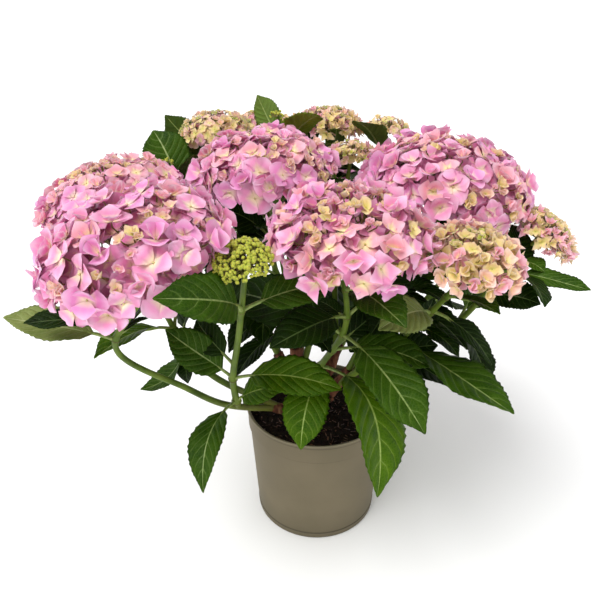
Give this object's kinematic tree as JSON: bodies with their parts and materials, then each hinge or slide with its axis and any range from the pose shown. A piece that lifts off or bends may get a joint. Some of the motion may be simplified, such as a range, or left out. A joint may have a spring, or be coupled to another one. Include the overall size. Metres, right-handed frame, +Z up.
{
  "type": "potted mophead hydrangea shrub",
  "caption": "Flowering mophead hydrangea shrub with pink domed flower heads and broad serrated leaves, standing in a round tapered nursery pot.",
  "frame": {"origin": "centre of the pot's flat underside", "axes": "+Z up; +X to the right and -Y towards the viewer, seen from the side that the picture shows"},
  "size_m": [0.6419, 0.6699, 0.6042],
  "materials": {
    "pot_plastic": "matt taupe moulded plastic",
    "compost": "dark moist bark and peat compost",
    "bark": "reddish brown flaking bark",
    "green_stem": "smooth green young stems",
    "blossom": "soft pink petals with cream eyes",
    "foliage": "satin quilted green leaves"
  },
  "bodies": {
    "root": {"pot": "pot_plastic", "compost": "compost", "woody_stock": "bark", "bough_front_left": "green_stem", "bough_far_left": "green_stem", "bough_middle": "green_stem", "bough_front": "green_stem", "bough_right": "green_stem", "bough_right_front": "green_stem", "bough_far_right": "green_stem", "bough_back_left": "green_stem", "bough_back_left_inner": "green_stem", "bough_back": "green_stem", "bough_back_right_inner": "green_stem", "bough_inner": "green_stem", "bough_top_sprig": "green_stem", "bough_left_sprig": "green_stem", "bough_rear_left": "green_stem", "bough_rear": "green_stem", "bough_rear_right": "green_stem", "bough_side_right": "green_stem", "head_front_left": "blossom", "head_far_left": "blossom", "head_middle": "blossom", "head_front": "blossom", "head_right": "blossom", "head_right_front": "blossom", "head_far_right": "blossom", "head_back_left": "blossom", "head_back_left_inner": "blossom", "head_back": "blossom", "head_back_right_inner": "blossom", "head_inner": "blossom", "head_front_bud": "blossom", "head_top_sprig": "blossom", "head_left_sprig": "blossom", "head_rear_left": "blossom", "head_rear": "blossom", "head_rear_right": "blossom", "head_side_right": "blossom", "spray_front_left": "foliage", "spray_far_left": "foliage", "spray_middle": "foliage", "spray_front": "foliage", "spray_right": "foliage", "spray_right_front": "foliage", "spray_far_right": "foliage", "spray_back_left": "foliage", "spray_back_left_inner": "foliage", "spray_back": "foliage", "spray_back_right_inner": "foliage", "spray_inner": "foliage", "spray_front_bud": "foliage", "spray_top_sprig": "foliage", "spray_left_sprig": "foliage", "spray_rear_left": "foliage", "spray_rear": "foliage", "spray_rear_right": "foliage", "spray_side_right": "foliage"}
  },
  "joints": []
}
